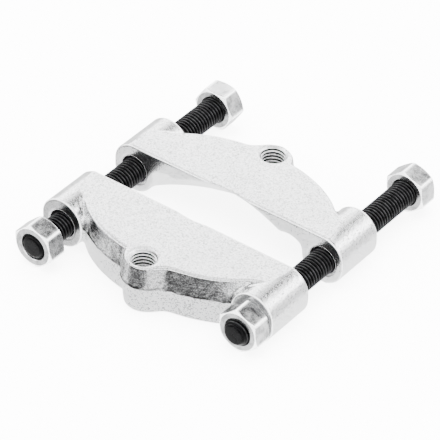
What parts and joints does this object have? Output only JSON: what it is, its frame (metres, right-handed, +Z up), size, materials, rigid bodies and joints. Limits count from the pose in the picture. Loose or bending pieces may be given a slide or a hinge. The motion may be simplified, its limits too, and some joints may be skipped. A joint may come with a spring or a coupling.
{
  "type": "bearing separator",
  "caption": "Bearing separator: two knife-edged D-shaped jaws sliding on a pair of long threaded studs with hex nuts, each jaw with a threaded hole for a puller leg.",
  "frame": {"origin": "centre of the whole tool's footprint, on the plane of the jaws' flat undersides", "axes": "+X from the left stud to the right stud, +Y along the studs from the front jaw to the rear jaw, +Z up out of the jaws' flat tops"},
  "size_m": [0.1235, 0.1448, 0.024],
  "materials": {
    "zinc_forging": "satin bright zinc plating over a forged surface",
    "black_oxide": "black oxide on a rolled thread, semi-gloss",
    "zinc_nut": "bright zinc plating on a cold-formed nut"
  },
  "bodies": {
    "front_jaw": {"front_jaw": "zinc_forging"},
    "rear_jaw": {"rear_jaw": "zinc_forging"},
    "left_stud": {"left_stud": "black_oxide"},
    "right_stud": {"right_stud": "black_oxide"},
    "left_front_nut": {"left_front_nut": "zinc_nut"},
    "left_rear_nut": {"left_rear_nut": "zinc_nut"},
    "right_front_nut": {"right_front_nut": "zinc_nut"},
    "right_rear_nut": {"right_rear_nut": "zinc_nut"}
  },
  "joints": [
    {"name": "rear_jaw_slide", "type": "slide", "parent": "front_jaw", "child": "rear_jaw", "axis": [0, 1, 0], "range_m": [-0.0234, 0.0316]},
    {"name": "right_front_nut_turn", "type": "hinge", "parent": "front_jaw", "child": "right_front_nut", "pos_m": [0.051, -0.05737, 0.0109], "axis": [0, -1, 0], "range_deg": [-4920, 700]},
    {"name": "right_stud_draw", "type": "slide", "parent": "front_jaw", "child": "right_stud", "axis": [0, 1, 0], "range_m": [-0.0239, 0.0034]},
    {"name": "right_rear_nut_travel", "type": "slide", "parent": "right_stud", "child": "right_rear_nut", "axis": [0, 1, 0], "range_m": [-0.0348, 0.004]},
    {"name": "left_stud_slide", "type": "slide", "parent": "front_jaw", "child": "left_stud", "axis": [0, 1, 0], "range_m": [-0.024, 0.0096]},
    {"name": "left_front_nut_travel", "type": "slide", "parent": "left_stud", "child": "left_front_nut", "axis": [0, -1, 0], "range_m": [-0.0096, 0.004]},
    {"name": "left_rear_nut_travel", "type": "slide", "parent": "left_stud", "child": "left_rear_nut", "axis": [0, 1, 0], "range_m": [-0.031, 0.004]}
  ],
  "couplings": [
    {"joint": "right_front_nut_turn", "follows": "right_stud_draw", "rad_per_m": 3590.4}
  ]
}
